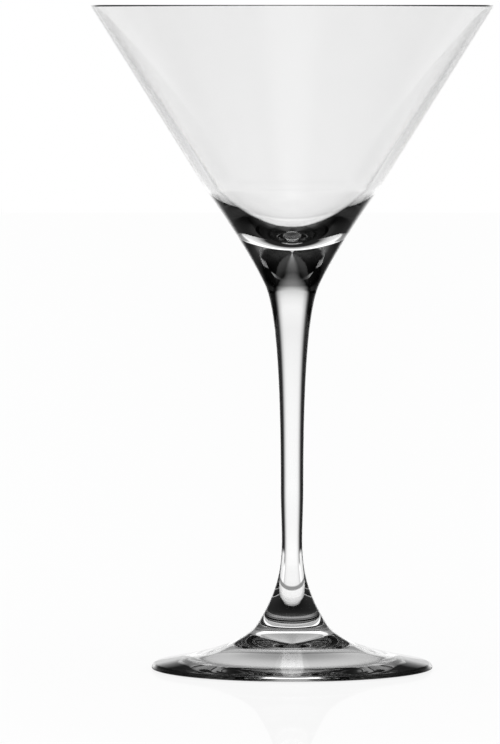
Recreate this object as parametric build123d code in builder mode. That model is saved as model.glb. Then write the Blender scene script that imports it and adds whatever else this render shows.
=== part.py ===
"""Stemmed martini glass, made the way a stuck-stem glass is made.

Three gathers of clear glass are worked separately and joined hot: a conical
bowl with a heavy rounded base, a drawn stem with a narrow waist, and a spun
foot, hollow underneath.  They meet face to face at two flat joins.

Frame: millimetres, +Z up the axis, origin at the centre of the ring that the
foot stands on.  Every outline is drawn as radius against height and revolved.
"""

import os
from math import asin, atan2, cos, degrees, hypot, radians, sin

from build123d import *

os.makedirs("parts", exist_ok=True)

# ---- heights of the three pieces, each measured from its own lower end ----
foot_height = 12.5  # standing ring to the join with the stem
stem_length = 93.0  # foot join to bowl join
bowl_height = 76.4  # stem join to the top of the rim

# ---- joins, shared by the pieces that meet there ----
ankle_radius = 9.4  # stem and foot
ankle_angle = 31.8  # lean of both surfaces from the vertical, degrees
neck_radius = 7.5  # bowl and stem
neck_angle = 25.4

# ---- bowl ----
rim_radius = 55.0
rim_wall = 0.6  # the rim is melted to a full round of this thickness
base_wall = 2.58  # wall where the straight cone runs out inside
belly_radius = 24.15  # outside, where the cone turns into the heavy base
belly_height = 27.0
base_pull_low = 12.0  # how far the base holds its line above the join
base_pull_high = 2.7  # and below the belly
floor_thickness = 12.1  # solid glass between the join and the inside bottom
floor_pull = 10.1  # radius over which the inside bottom is nearly flat
well_rise = -1.4  # end of the inside cone, measured up the slant from the belly
well_pull = 2.25

# ---- stem ----
waist_radius = 3.15
waist_height = 37.5  # above the foot join
waist_pull_up = 31.1
waist_pull_down = 16.2
neck_pull = 6.7
ankle_pull = 16.5

# ---- foot ----
foot_radius = 38.5
edge_run = 3.6  # the underside curls up to the edge over this width
edge_low = 0.35  # height of the outermost line of the edge
edge_high = 1.35  # rounding above that line; both together are the edge's thickness
edge_slope = 13.4  # fall of the upper surface at the edge, degrees from level
boss_pull = 8.15
skirt_pull = 6.35
ring_width = 5.8  # flat ring that touches the table
push_up = 6.9  # height of the hollow under the foot
hollow_slope = 3.3  # rise of the hollow where it leaves the ring, degrees
hollow_pull = 8.7
crown_pull = 15.7  # radius over which the top of the hollow is nearly flat

foot_join = foot_height
bowl_join = foot_join + stem_length
rim_height = bowl_join + bowl_height
waist_level = foot_join + waist_height


def along(start, lean, length):
    """Point `length` away from `start`, at `lean` degrees out from straight up."""
    return (start[0] + length * sin(radians(lean)), start[1] + length * cos(radians(lean)))


# Points on the two joins, and the handles that carry each surface smoothly across.
ankle = (ankle_radius, foot_join)
neck = (neck_radius, bowl_join)
ankle_above = along(ankle, -ankle_angle, ankle_pull)
ankle_below = along(ankle, 180 - ankle_angle, boss_pull)
neck_below = along(neck, neck_angle, -neck_pull)
neck_above = along(neck, neck_angle, base_pull_low)

# ---- bowl: straight cone, rounded heavy base, fire-polished rim ----
belly = (belly_radius, bowl_join + belly_height)
bead = rim_wall / 2
bead_centre = (rim_radius - bead, rim_height - bead)
bead_run = (bead_centre[0] - belly[0], bead_centre[1] - belly[1])
slant = degrees(atan2(bead_run[0], bead_run[1]) + asin(bead / hypot(bead_run[0], bead_run[1])))
bead_outside = along(bead_centre, slant + 90, bead)
bead_top = along(bead_centre, slant, bead)
bead_inside = along(bead_centre, slant - 90, bead)
cone_foot = along(along(belly, slant, well_rise), slant - 90, base_wall)
floor = (0, bowl_join + floor_thickness)

with BuildPart() as bowl:
    with BuildSketch(Plane.XZ):
        with BuildLine():
            Polyline(floor, (0, bowl_join), neck)
            Bezier(neck, neck_above, along(belly, slant, -base_pull_high), belly)
            Line(belly, bead_outside)
            ThreePointArc(bead_outside, bead_top, bead_inside)
            Line(bead_inside, cone_foot)
            Bezier(cone_foot, along(cone_foot, slant, -well_pull), (floor_pull, floor[1]), floor)
        make_face()
    revolve(axis=Axis.Z)

# ---- stem: drawn thin at the waist, flared to both joins ----
waist = (waist_radius, waist_level)

with BuildPart() as stem:
    with BuildSketch(Plane.XZ):
        with BuildLine():
            Polyline(neck, (0, bowl_join), (0, foot_join), ankle)
            Bezier(ankle, ankle_above, along(waist, 180, waist_pull_down), waist)
            Bezier(waist, along(waist, 0, waist_pull_up), neck_below, neck)
        make_face()
    revolve(axis=Axis.Z)

# ---- foot: boss, cone-like skirt, thin rounded edge and a hollow underneath ----
high_centre = (foot_radius - edge_high, edge_low)
edge_top = along(high_centre, edge_slope, edge_high)
edge_shoulder = along(high_centre, (90 + edge_slope) / 2, edge_high)
edge_outside = (foot_radius, edge_low)
toe_outside = (foot_radius, edge_low * 0.45)
toe_under = (foot_radius - edge_run * 0.45, 0)
ring_outside = (foot_radius - edge_run, 0)
ring_inside = (ring_outside[0] - ring_width, 0)
hollow_top = (0, push_up)
hollow_edge = along(ring_inside, hollow_slope - 90, hollow_pull)

with BuildPart() as foot:
    with BuildSketch(Plane.XZ):
        with BuildLine():
            Polyline(hollow_top, (0, foot_join), ankle)
            Bezier(ankle, ankle_below, along(edge_top, edge_slope - 90, skirt_pull), edge_top)
            ThreePointArc(edge_top, edge_shoulder, edge_outside)
            Bezier(edge_outside, toe_outside, toe_under, ring_outside)
            Line(ring_outside, ring_inside)
            Bezier(ring_inside, hollow_edge, (crown_pull, push_up), hollow_top)
        make_face()
    revolve(axis=Axis.Z)

bowl.part.label = "bowl"
stem.part.label = "stem"
foot.part.label = "foot"

export_step(bowl.part, "parts/bowl.step")
export_step(stem.part, "parts/stem.step")
export_step(foot.part, "parts/foot.step")
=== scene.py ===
"""Looks of the martini glass: smooth clear glass, a white table and the light of a studio."""

from math import asin, atan2, cos, hypot, pi, radians, sin

import bpy
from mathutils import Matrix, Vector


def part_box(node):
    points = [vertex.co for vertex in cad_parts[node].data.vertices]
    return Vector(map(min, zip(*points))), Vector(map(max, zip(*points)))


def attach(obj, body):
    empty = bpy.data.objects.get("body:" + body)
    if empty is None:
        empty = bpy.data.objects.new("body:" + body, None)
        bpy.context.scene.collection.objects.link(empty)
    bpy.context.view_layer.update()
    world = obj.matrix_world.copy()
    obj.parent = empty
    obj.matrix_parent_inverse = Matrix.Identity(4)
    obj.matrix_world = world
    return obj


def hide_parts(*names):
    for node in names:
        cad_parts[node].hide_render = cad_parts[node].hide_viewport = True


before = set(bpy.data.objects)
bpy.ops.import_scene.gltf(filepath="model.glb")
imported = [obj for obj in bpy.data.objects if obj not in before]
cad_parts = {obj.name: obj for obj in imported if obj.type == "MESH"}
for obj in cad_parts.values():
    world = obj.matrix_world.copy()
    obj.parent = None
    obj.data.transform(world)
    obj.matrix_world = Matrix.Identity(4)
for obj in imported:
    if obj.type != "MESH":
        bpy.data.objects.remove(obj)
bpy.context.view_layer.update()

MM = 0.001
WHITE = (1.0, 1.0, 1.0, 1.0)

# ---- sizes of the glass, metres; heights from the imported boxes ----
FOOT_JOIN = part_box("stem")[0].z
BOWL_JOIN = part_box("stem")[1].z
RIM_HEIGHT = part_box("bowl")[1].z

RIM_RADIUS = 55.0 * MM
RIM_WALL = 0.6 * MM
BASE_WALL = 2.58 * MM
BELLY_RADIUS = 24.15 * MM
BELLY_HEIGHT = 27.0 * MM
BASE_PULL_LOW = 12.0 * MM
BASE_PULL_HIGH = 2.7 * MM
FLOOR_THICKNESS = 12.1 * MM
FLOOR_PULL = 10.1 * MM
WELL_RISE = -1.4 * MM
WELL_PULL = 2.25 * MM

NECK_RADIUS = 7.5 * MM
NECK_ANGLE = radians(25.4)
NECK_PULL = 6.7 * MM
WAIST_RADIUS = 3.15 * MM
WAIST_HEIGHT = 37.5 * MM
WAIST_PULL_UP = 31.1 * MM
WAIST_PULL_DOWN = 16.2 * MM
ANKLE_RADIUS = 9.4 * MM
ANKLE_ANGLE = radians(31.8)
ANKLE_PULL = 16.5 * MM

FOOT_RADIUS = 38.5 * MM
EDGE_RUN = 3.6 * MM
EDGE_LOW = 0.35 * MM
EDGE_HIGH = 1.35 * MM
EDGE_SLOPE = radians(13.4)
EDGE_ROUND = 0.45  # the curl's handles stop this share of its run and height short of the corner
BOSS_PULL = 8.15 * MM
SKIRT_PULL = 6.35 * MM
RING_WIDTH = 5.8 * MM
PUSH_UP = 6.9 * MM
HOLLOW_SLOPE = radians(3.3)
HOLLOW_PULL = 8.7 * MM
CROWN_PULL = 15.7 * MM

AROUND = 256  # facets round the axis
ON_AXIS = 1e-9  # a ring smaller than this is a single point

# ---- surface of the glass ----
INDEX = 1.5
RIPPLE = 0.016 * MM  # height of the rings that turning leaves
RIPPLES = (70.0, 70.0, 330.0)  # cells to the metre along x, y and z: long round the axis, short up it
RIPPLE_DETAIL = 1.0
SMOOTH = (BOWL_JOIN + 15.0 * MM, BOWL_JOIN + 25.0 * MM)  # they fade out here; the blown wall is free of them
CORDS = (240.0, 240.0, 30.0)  # cells to the metre: cords run up the glass
CORD_DETAIL = 2.0
CORD_TINT = 0.985  # colour of the densest cord


# ---- outlines: runs of (radius, height, normal radius, normal height) ----
def along(start, lean, length):
    """Point `length` from `start`, `lean` radians out from straight up."""
    return (start[0] + length * sin(lean), start[1] + length * cos(lean))


def with_normals(points, tangents):
    """Give each point its outward normal; outward is on the right of the direction of travel."""
    run = []
    for (r, z), (tr, tz) in zip(points, tangents):
        size = hypot(tr, tz)
        run.append((r, z, tz / size, -tr / size))
    return run


def line(start, end, steps):
    """Straight run."""
    way = (end[0] - start[0], end[1] - start[1])
    points = [(start[0] + way[0] * i / steps, start[1] + way[1] * i / steps) for i in range(steps + 1)]
    return with_normals(points, [way] * (steps + 1))


def bezier(p0, p1, p2, p3, steps):
    """Cubic Bezier curve from p0 to p3 with the handles p1 and p2."""
    points, tangents = [], []
    for i in range(steps + 1):
        t = i / steps
        s = 1 - t
        w = (s**3, 3 * s * s * t, 3 * s * t * t, t**3)
        d = (-s * s, s * s - 2 * s * t, 2 * s * t - t * t, t * t)
        points.append(tuple(w[0] * p0[k] + w[1] * p1[k] + w[2] * p2[k] + w[3] * p3[k] for k in (0, 1)))
        tangents.append(tuple(d[0] * p0[k] + d[1] * p1[k] + d[2] * p2[k] + d[3] * p3[k] for k in (0, 1)))
    return with_normals(points, tangents)


def arc(centre, radius, start, end, steps):
    """Arc of a circle; start and end are leans from straight up, in radians."""
    points, tangents = [], []
    turn = 1 if end > start else -1
    for i in range(steps + 1):
        a = start + (end - start) * i / steps
        points.append(along(centre, a, radius))
        tangents.append((turn * cos(a), -turn * sin(a)))
    return with_normals(points, tangents)


ankle = (ANKLE_RADIUS, FOOT_JOIN)
neck = (NECK_RADIUS, BOWL_JOIN)


def bowl_outline():
    """Heavy base, straight cone, melted rim, and the inside down to the axis."""
    belly = (BELLY_RADIUS, BOWL_JOIN + BELLY_HEIGHT)
    bead = RIM_WALL / 2
    bead_centre = (RIM_RADIUS - bead, RIM_HEIGHT - bead)
    bead_run = (bead_centre[0] - belly[0], bead_centre[1] - belly[1])
    slant = atan2(*bead_run) + asin(bead / hypot(*bead_run))
    bead_outside = along(bead_centre, slant + pi / 2, bead)
    bead_inside = along(bead_centre, slant - pi / 2, bead)
    base_low = along(neck, NECK_ANGLE, BASE_PULL_LOW)
    base_high = along(belly, slant, -BASE_PULL_HIGH)
    cone_foot = along(along(belly, slant, WELL_RISE), slant - pi / 2, BASE_WALL)
    well_side = along(cone_foot, slant, -WELL_PULL)
    floor = (0.0, BOWL_JOIN + FLOOR_THICKNESS)
    return [
        bezier(neck, base_low, base_high, belly, steps=60),
        line(belly, bead_outside, steps=24),
        arc(bead_centre, bead, slant + pi / 2, slant - pi / 2, steps=16),
        line(bead_inside, cone_foot, steps=24),
        bezier(cone_foot, well_side, (FLOOR_PULL, floor[1]), floor, steps=60),
    ]


def stem_outline():
    """Drawn thin at the waist, flared to both joins."""
    waist = (WAIST_RADIUS, FOOT_JOIN + WAIST_HEIGHT)
    ankle_above = along(ankle, -ANKLE_ANGLE, ANKLE_PULL)
    waist_below = along(waist, 0, -WAIST_PULL_DOWN)
    waist_above = along(waist, 0, WAIST_PULL_UP)
    neck_below = along(neck, NECK_ANGLE, -NECK_PULL)
    return [
        bezier(ankle, ankle_above, waist_below, waist, steps=60),
        bezier(waist, waist_above, neck_below, neck, steps=70),
    ]


def foot_outline():
    """Hollow underneath, standing ring, thin rounded edge, skirt and boss."""
    high_centre = (FOOT_RADIUS - EDGE_HIGH, EDGE_LOW)
    edge_top = along(high_centre, EDGE_SLOPE, EDGE_HIGH)
    edge_outside = (FOOT_RADIUS, EDGE_LOW)
    toe_outside = (FOOT_RADIUS, EDGE_LOW * EDGE_ROUND)
    toe_under = (FOOT_RADIUS - EDGE_RUN * EDGE_ROUND, 0.0)
    ring_outside = (FOOT_RADIUS - EDGE_RUN, 0.0)
    ring_inside = (ring_outside[0] - RING_WIDTH, 0.0)
    hollow_top = (0.0, PUSH_UP)
    hollow_side = along(ring_inside, HOLLOW_SLOPE - pi / 2, HOLLOW_PULL)
    skirt = along(edge_top, EDGE_SLOPE - pi / 2, SKIRT_PULL)
    ankle_below = along(ankle, pi - ANKLE_ANGLE, BOSS_PULL)
    return [
        bezier(hollow_top, (CROWN_PULL, PUSH_UP), hollow_side, ring_inside, steps=70),
        line(ring_inside, ring_outside, steps=3),
        bezier(ring_outside, toe_under, toe_outside, edge_outside, steps=16),
        arc(high_centre, EDGE_HIGH, pi / 2, EDGE_SLOPE, steps=24),
        bezier(edge_top, skirt, ankle_below, ankle, steps=80),
    ]


# ---- meshes ----
def revolve(name, outline, node):
    """A piece of glass turned from its outline, with exact normals and a disc across each join."""
    rings, spans = [], []
    for run in outline:
        for a, b in zip(run, run[1:]):
            if not rings:
                rings.append(a[:2])
            rings.append(b[:2])
            spans.append((len(rings) - 2, len(rings) - 1, a, b))
    turns = [2 * pi * j / AROUND for j in range(AROUND)]
    verts, starts = [], []
    for r, z in rings:
        starts.append(len(verts))
        if r < ON_AXIS:
            verts.append((0.0, 0.0, z))
        else:
            verts += [(r * cos(a), r * sin(a), z) for a in turns]

    def normal(sample, j):
        return (sample[2] * cos(turns[j]), sample[2] * sin(turns[j]), sample[3])

    faces, normals, slots = [], [], []
    for low, high, a, b in spans:
        for j in range(AROUND):
            n = (j + 1) % AROUND
            corners = [(low, j, a), (low, n, a), (high, n, b), (high, j, b)]
            if rings[low][0] < ON_AXIS:
                corners = corners[1:]
            elif rings[high][0] < ON_AXIS:
                corners = corners[:3]
            faces.append([starts[c] + (0 if rings[c][0] < ON_AXIS else g) for c, g, _ in corners])
            normals += [normal(sample, g) for _, g, sample in corners]
            slots.append(0)
    # where an end of the outline is a join, a flat disc closes the piece
    for ring, up in ((0, -1.0), (len(rings) - 1, 1.0)):
        if rings[ring][0] > ON_AXIS:
            centre = len(verts)
            verts.append((0.0, 0.0, rings[ring][1]))
            for j in range(AROUND):
                a, b = starts[ring] + j, starts[ring] + (j + 1) % AROUND
                faces.append([centre, a, b] if up > 0 else [centre, b, a])
                normals += [(0.0, 0.0, up)] * 3
                slots.append(1)
    mesh = bpy.data.meshes.new(name)
    mesh.from_pydata(verts, [], faces)
    mesh.polygons.foreach_set("use_smooth", [True] * len(faces))
    mesh.polygons.foreach_set("material_index", slots)
    mesh.normals_split_custom_set(normals)
    mesh.validate()
    piece = bpy.data.objects.new(name, mesh)
    bpy.context.scene.collection.objects.link(piece)
    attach(piece, "root")
    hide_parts(node)
    return piece


# ---- node helpers ----
def feed(tree, socket, value):
    """Set the socket to a number, or link it to another node's output."""
    if isinstance(value, (int, float)):
        socket.default_value = value
    else:
        tree.links.new(value, socket)


def maths(tree):
    """A function that adds one Math node to the tree and returns its output."""

    def add(kind, *values):
        node = tree.nodes.new("ShaderNodeMath")
        node.operation = kind
        for socket, value in zip(node.inputs, values):
            feed(tree, socket, value)
        return node.outputs[0]

    return add


def fade(tree, value, low, high, to_min=0.0, to_max=1.0):
    """Smooth step from to_min at low to to_max at high."""
    node = tree.nodes.new("ShaderNodeMapRange")
    node.interpolation_type = "SMOOTHSTEP"
    node.inputs["From Min"].default_value = low
    node.inputs["From Max"].default_value = high
    node.inputs["To Min"].default_value = to_min
    node.inputs["To Max"].default_value = to_max
    tree.links.new(value, node.inputs["Value"])
    return node.outputs["Result"]


def curve(tree, value, points, unit):
    """Straight-line graph through (value in the unit, result) points."""
    node = tree.nodes.new("ShaderNodeFloatCurve")
    graph = node.mapping.curves[0]
    node.mapping.use_clip = False
    low, high = points[0][0], points[-1][0]
    while len(graph.points) < len(points):
        graph.points.new(0.5, 0.5)
    for knot, (at, result) in zip(graph.points, points):
        knot.location = ((at - low) / (high - low), result / GRAPH_TOP)
        knot.handle_type = "VECTOR"
    node.mapping.update()
    share = tree.nodes.new("ShaderNodeMapRange")
    share.inputs["From Min"].default_value = low * unit
    share.inputs["From Max"].default_value = high * unit
    tree.links.new(value, share.inputs["Value"])
    tree.links.new(share.outputs["Result"], node.inputs["Value"])
    return maths(tree)("MULTIPLY", node.outputs[0], GRAPH_TOP)


def level_length(add, x, y):
    """Length of a vector's level part."""
    return add("SQRT", add("ADD", add("MULTIPLY", x, x), add("MULTIPLY", y, y)))


def from_axes(add, x, y, flat):
    """Angle between a level direction and the nearest of the four axes."""
    nearest = add("MAXIMUM", add("ABSOLUTE", x), add("ABSOLUTE", y))
    return add("ARCCOSINE", add("MINIMUM", add("DIVIDE", nearest, flat), 1.0))


def mix(tree, share, first, second):
    """The second shader by this share, the first for the rest."""
    node = tree.nodes.new("ShaderNodeMixShader")
    for socket, value in zip(node.inputs, (share, first, second)):
        feed(tree, socket, value)
    return node.outputs[0]


def shine(tree, kind, strength):
    """White light of this strength, from an Emission or a Background node."""
    node = tree.nodes.new(kind)
    node.inputs["Color"].default_value = WHITE
    feed(tree, node.inputs["Strength"], strength)
    return node.outputs[0]


def transparent(tree):
    return tree.nodes.new("ShaderNodeBsdfTransparent").outputs[0]


def show(tree, kind, shader):
    """End the tree in the output node that shows the shader."""
    tree.links.new(shader, tree.nodes.new(kind).inputs["Surface"])


def new_material(name, shader):
    """Material whose surface is what shader(tree) returns."""
    material = bpy.data.materials.new(name)
    material.use_nodes = True
    tree = material.node_tree
    tree.nodes.clear()
    show(tree, "ShaderNodeOutputMaterial", shader(tree))
    return material


# ---- materials ----
def glass(tree):
    """Clear glass with the faint rings that turning leaves, and cords of slightly denser glass."""
    nodes, links = tree.nodes, tree.links
    shader = nodes.new("ShaderNodeBsdfPrincipled")
    shader.inputs["Transmission Weight"].default_value = 1.0
    shader.inputs["Roughness"].default_value = 0.0
    shader.inputs["IOR"].default_value = INDEX
    coords = nodes.new("ShaderNodeTexCoord")

    def noise(stretch, detail):
        """Noise whose cells are as many to the metre as stretch says, along x, y and z."""
        scale = nodes.new("ShaderNodeMapping")
        scale.inputs["Scale"].default_value = stretch
        texture = nodes.new("ShaderNodeTexNoise")
        texture.inputs["Scale"].default_value = 1.0
        texture.inputs["Detail"].default_value = detail
        links.new(coords.outputs["Object"], scale.inputs["Vector"])
        links.new(scale.outputs["Vector"], texture.inputs["Vector"])
        return texture.outputs["Fac"]

    ripple = nodes.new("ShaderNodeBump")
    ripple.inputs["Strength"].default_value = 1.0
    ripple.inputs["Distance"].default_value = RIPPLE
    place = nodes.new("ShaderNodeSeparateXYZ")
    links.new(coords.outputs["Object"], place.inputs[0])
    turned = fade(tree, place.outputs["Z"], *SMOOTH, 1.0, 0.0)
    links.new(maths(tree)("MULTIPLY", turned, noise(RIPPLES, RIPPLE_DETAIL)), ripple.inputs["Height"])
    links.new(ripple.outputs["Normal"], shader.inputs["Normal"])
    cords = nodes.new("ShaderNodeMapRange")
    cords.inputs["To Min"].default_value = CORD_TINT
    links.new(noise(CORDS, CORD_DETAIL), cords.inputs["Value"])
    tint = nodes.new("ShaderNodeCombineColor")
    for socket in tint.inputs:
        links.new(cords.outputs["Result"], socket)
    links.new(tint.outputs["Color"], shader.inputs["Base Color"])
    return shader.outputs[0]


GLASS = new_material("clear_glass", glass)
WELD = new_material("fused_join", transparent)  # fused glass shows no surface at a join
for piece in (
    revolve("glass_bowl", bowl_outline(), "bowl"),
    revolve("glass_stem", stem_outline(), "stem"),
    revolve("glass_foot", foot_outline(), "foot"),
):
    piece.data.materials.append(GLASS)
    piece.data.materials.append(WELD)


# ---- light ----
# The strengths below were tuned until the render's greys came near the photo's. They are not those
# of a real studio: the same direction can be bright for one path through the glass and dark for
# another. A path is sorted by the number of its reflections (Glossy Depth) and by whether it passed
# through glass (Transmission Depth).
ANY, SEVERAL = 0.5, 1.5  # a count above these is at least one, at least two
ONE_ONLY = 0.1  # how near to one a count has to be
GRAPH_TOP = 2.0  # greatest strength that a graph can give

# The world: (degrees, strength) across, then upward; the two strengths are multiplied. Across is
# counted from the nearest axis for STRAIGHT, and from straight behind the glass for the rest.
STRAIGHT = (  # no reflection
    ((0, 1.0), (14, 1.0), (20, 0.94), (27, 0.6), (33, 0.12), (38, 0.0)),
    ((-90, 0.0), (-42, 0.0), (-32, 0.9), (-22, 1.0), (-15, 1.0), (-6, 1.04), (4, 0.9), (9, 0.99),
     (14, 0.88), (19, 0.74), (24, 0.66), (30, 0.23), (38, 0.0), (90, 0.41)),
)
ONCE = (  # through glass, one reflection
    ((0, 0.66), (20, 0.9), (27, 1.05), (33, 0.7), (40, 0.93), (52, 0.62), (60, 0.0), (140, 0.0),
     (160, 0.58), (180, 0.67)),
    ((-90, 0.0), (-42, 0.02), (-30, 0.83), (-22, 1.08), (-17, 0.34), (0, 0.47), (60, 0.7), (90, 0.68)),
)
MANY = (  # through glass, two reflections or more
    ((0, 1.0), (12, 0.81), (20, 0.67), (27, 0.24), (40, 0.04), (50, 0.0), (100, 0.0), (180, 0.01)),
    ((-90, 0.18), (-60, 0.0), (-30, 0.1), (-15, 0.69), (-6, 0.34), (4, 0.3), (24, 0.36), (38, 0.41),
     (90, 0.13)),
)
MANY_LOW = (  # a second card for the same rays, mostly a little above the level
    ((0, 0.0), (25, 0.34), (40, 0.03), (60, 0.0), (80, 0.0), (180, 0.1)),
    ((-90, 0.3), (-15, 0.0), (0, 0.41), (8, 0.54), (14, 0.47), (90, 0.0)),
)
MIRRORED = (  # reflected off the outside only
    ((0, 0.71), (15, 1.42), (30, 0.3), (50, 0.0), (80, 0.14), (180, 0.71)),
    ((-90, 0.5), (-30, 0.0), (-12, 0.85), (-2, 1.15), (2, 1.15), (8, 1.3), (12, 0.45), (16, 0.04),
     (60, 0.04), (90, 0.3)),
)
SIDE_TURN = radians(12)  # the straight card counts this much further across at the two sides
# Straight rays that fall see white as well as the card: between the axes when they fall a little,
# and all round when they fall steeply. Degrees from the nearest axis, and upward, from none to full.
WHITE_BETWEEN = (((31, 37), (-7, -10)), ((24, 31), (-12, -16)))
WHITE_STEEP = (-32, -42)
# A bow of light for rays with one reflection: it lies straight behind the glass when level and
# further round the more it rises or falls. Lengths are along a ray of length 1.
FILL_ONCE, FILL_MIRRORED = 1.45, 0.15  # its strength through glass, and off the outside
BOW_SINK = 0.035  # how far below the level it is straight behind
BOW_BEND = 1.8
BOW_BAND = (0.12, 0.06)  # from its outer edge to where it is full
BOW_DIMMING, BOW_MIDDLE = -1.25, 1.13  # change with height, and strength when level

# The table through the glass is painted light and shade, a glow that is darker near the axis and round the
# standing ring: (millimetres from the axis, strength)
FLOOR_STRAIGHT = ((0, 0.36), (6, 0.35), (12, 0.45), (18, 0.68), (29, 1.0), (38, 0.36), (42, 0.97), (50, 0.77))
FLOOR_ONCE = ((0, 0.0), (21, 0.04), (26, 0.79), (34, 0.17), (38, 0.47), (50, 0.21))
FLOOR_MANY = ((0, 0.0), (14, 0.05), (23, 0.33), (27, 0.9), (31.8, 0.75), (33, 0.0), (50, 0.0))
FLOOR_END = (50.0 * MM, 46.0 * MM)  # beyond it, rays from the glass pass the table and see the world
HOLLOW_RADIUS = FOOT_RADIUS - EDGE_RUN - RING_WIDTH
LEAST_CLEARANCE = 0.1 * MM
STEEP = (0.47, 0.56)  # height under the glass over length of ray; steep rays see the table's painted light
LONG_RAY = 80.0 * MM  # and so do rays as long as this, which left the glass above the foot
LIT_FROM = (12.0 * MM, 24.0 * MM)  # except near the axis
SHALLOW_RAY = (20.0 * MM, 30.0 * MM)  # length of the rays over which the painted light on the table dims
SHALLOW_SHARE = 0.35

# The table in plain view
TABLE_HALF = 4.0  # metres from the axis to each edge
TABLE_TOP = -0.1 * MM  # just clear of the standing ring
TABLE_GLOW = 0.88  # share of its white that shadows leave alone
TABLE_GLOSS = 0.06


# ---- table ----
def plain_table(tree):
    """White, with a faint shadow and a faint reflection."""
    matt = tree.nodes.new("ShaderNodeBsdfDiffuse")
    matt.inputs["Color"].default_value = WHITE
    gloss = tree.nodes.new("ShaderNodeBsdfGlossy")
    gloss.inputs["Roughness"].default_value = 0.0
    glow = shine(tree, "ShaderNodeEmission", 1.0)
    return mix(tree, TABLE_GLOSS, mix(tree, TABLE_GLOW, matt.outputs[0], glow), gloss.outputs[0])


def painted_table_light(tree, path):
    """Painted light and shade: for rays from the glass the table glows by distance from the axis, by
    reflections and, for straight rays, by how steeply they fell.
    """
    add = maths(tree)
    place = tree.nodes.new("ShaderNodeNewGeometry")
    split = tree.nodes.new("ShaderNodeSeparateXYZ")
    tree.links.new(place.outputs["Position"], split.inputs[0])
    reach = level_length(add, split.outputs[0], split.outputs[1])
    length, bounces = path.outputs["Ray Length"], path.outputs["Glossy Depth"]
    straight = add("LESS_THAN", bounces, ANY)
    many = add("GREATER_THAN", bounces, SEVERAL)
    once = add("SUBTRACT", 1.0, add("ADD", straight, many))
    hollow = add("MULTIPLY_ADD", reach, -PUSH_UP / HOLLOW_RADIUS, PUSH_UP)
    steep = fade(tree, add("DIVIDE", add("MAXIMUM", LEAST_CLEARANCE, hollow), length), *STEEP)
    steep = add("MAXIMUM", steep, add("GREATER_THAN", length, LONG_RAY))
    lit = add("MULTIPLY", steep, fade(tree, reach, *LIT_FROM))
    shallow = fade(tree, length, *SHALLOW_RAY, 1.0, SHALLOW_SHARE)
    unlit = add("MULTIPLY", shallow, curve(tree, reach, FLOOR_STRAIGHT, MM))
    first = add("MULTIPLY", straight, add("MAXIMUM", lit, unlit))
    second = add("MULTIPLY", once, curve(tree, reach, FLOOR_ONCE, MM))
    third = add("MULTIPLY", many, curve(tree, reach, FLOOR_MANY, MM))
    glow = shine(tree, "ShaderNodeEmission", add("ADD", first, add("ADD", second, third)))
    return mix(tree, fade(tree, reach, *FLOOR_END), transparent(tree), glow)


def table_shader(tree):
    path = tree.nodes.new("ShaderNodeLightPath")
    # rays from the glass see the painted light and shade; all other rays see the plain white table
    by_glass = maths(tree)("MAXIMUM", path.outputs["Is Transmission Ray"], path.outputs["Is Glossy Ray"])
    return mix(tree, by_glass, plain_table(tree), painted_table_light(tree, path))


def table():
    mesh = bpy.data.meshes.new("table")
    corners = [(x * TABLE_HALF, y * TABLE_HALF, TABLE_TOP) for x, y in ((-1, -1), (1, -1), (1, 1), (-1, 1))]
    mesh.from_pydata(corners, [], [(0, 1, 2, 3)])
    top = bpy.data.objects.new("table", mesh)
    bpy.context.scene.collection.objects.link(top)
    mesh.materials.append(new_material("table_white", table_shader))


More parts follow.
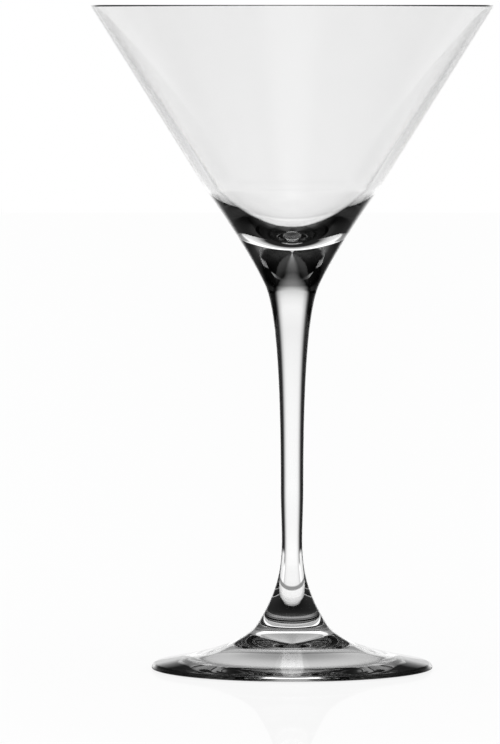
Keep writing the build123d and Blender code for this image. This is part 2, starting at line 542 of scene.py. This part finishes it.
# ---- world: white in plain view; rays from the glass see light by direction and by path ----
def studio_light(tree):
    """Strength of the world in the direction of the ray."""
    add = maths(tree)
    coords = tree.nodes.new("ShaderNodeTexCoord")
    split = tree.nodes.new("ShaderNodeSeparateXYZ")
    tree.links.new(coords.outputs["Generated"], split.inputs[0])
    x, y, z = split.outputs
    flat = level_length(add, x, y)
    turn = from_axes(add, x, y, flat)
    rise = add("ARCTAN2", z, flat)
    sideways = add("GREATER_THAN", add("ABSOLUTE", x), add("ABSOLUTE", y))
    away = add("ABSOLUTE", add("ARCTAN2", x, y))
    path = tree.nodes.new("ShaderNodeLightPath")
    bounces = path.outputs["Glossy Depth"]
    straight = add("LESS_THAN", bounces, ANY)
    single = add("COMPARE", bounces, 1.0, ONE_ONLY)
    inside = add("GREATER_THAN", path.outputs["Transmission Depth"], ANY)
    many = add("MULTIPLY", add("GREATER_THAN", bounces, SEVERAL), inside)
    once = add("MULTIPLY", single, inside)
    mirrored = add("SUBTRACT", 1.0, add("MAXIMUM", straight, inside))

    def card(at, across, up):
        """Light whose strength is a graph across times a graph upward."""
        return add("MULTIPLY", curve(tree, at, across, radians(1)), curve(tree, rise, up, radians(1)))

    def between(value, span):
        """Smooth step over a span in degrees."""
        return fade(tree, value, *(radians(end) for end in span))

    # straight through the glass
    spread = add("MULTIPLY_ADD", sideways, SIDE_TURN, turn)
    gaps = [add("MULTIPLY", between(turn, aside), between(rise, fall)) for aside, fall in WHITE_BETWEEN]
    below = add("MAXIMUM", add("MAXIMUM", *gaps), between(rise, WHITE_STEEP))
    seen_straight = add("MULTIPLY", straight, add("ADD", card(spread, *STRAIGHT), below))
    # with one reflection
    shifted = add("ADD", z, BOW_SINK)
    bent = add("MULTIPLY_ADD", add("MULTIPLY", shifted, shifted), BOW_BEND, add("SUBTRACT", y, 1.0))
    dimming = add("MAXIMUM", 0.0, add("MULTIPLY_ADD", add("ABSOLUTE", z), BOW_DIMMING, BOW_MIDDLE))
    fill = add("MULTIPLY", dimming, fade(tree, add("ABSOLUTE", bent), *BOW_BAND))
    seen_once = add("MULTIPLY", once, add("MAXIMUM", add("MULTIPLY", fill, FILL_ONCE), card(away, *ONCE)))
    # with more
    seen_many = add("MULTIPLY", many, add("ADD", card(away, *MANY), card(away, *MANY_LOW)))
    # off the outside
    outside = add("MULTIPLY", add("MULTIPLY", fill, single), FILL_MIRRORED)
    seen_mirrored = add("MULTIPLY", mirrored, add("MAXIMUM", outside, card(away, *MIRRORED)))

    by_glass = add("ADD", add("ADD", seen_straight, seen_once), add("ADD", seen_many, seen_mirrored))
    plain = add("MAXIMUM", path.outputs["Is Camera Ray"], path.outputs["Is Diffuse Ray"])
    return add("MAXIMUM", plain, by_glass)


def studio():
    world = bpy.data.worlds.new("studio")
    bpy.context.scene.world = world
    world.use_nodes = True
    world.cycles.sampling_method = "NONE"
    tree = world.node_tree
    tree.nodes.clear()
    show(tree, "ShaderNodeOutputWorld", shine(tree, "ShaderNodeBackground", studio_light(tree)))


# ---- camera: level with the rim, a long lens, aimed a little down and left ----
CAMERA_DISTANCE = 1.81
CAMERA_SENSOR = 36.0  # millimetres, as the lens is
CAMERA_LENS = 320.2
CAMERA_DOWN = 3.175  # degrees
CAMERA_LEFT = 0.365
CAMERA_CLIP = (0.05, 60.0)


def camera():
    data = bpy.data.cameras.new("camera")
    data.sensor_width = CAMERA_SENSOR
    data.lens = CAMERA_LENS
    data.clip_start, data.clip_end = CAMERA_CLIP
    cam = bpy.data.objects.new("camera", data)
    bpy.context.scene.collection.objects.link(cam)
    cam.location = (0.0, -CAMERA_DISTANCE, RIM_HEIGHT)
    cam.rotation_mode = "XYZ"
    cam.rotation_euler = (radians(90 - CAMERA_DOWN), 0.0, radians(CAMERA_LEFT))
    bpy.context.scene.camera = cam


table()
studio()
camera()

bpy.context.scene.view_settings.view_transform = "Standard"
# a ray through the base or the foot meets many surfaces before it leaves the glass
bpy.context.scene.cycles.max_bounces = 32
bpy.context.scene.cycles.transmission_bounces = 32
bpy.context.scene.cycles.glossy_bounces = 16
bpy.context.scene.cycles.transparent_max_bounces = 16
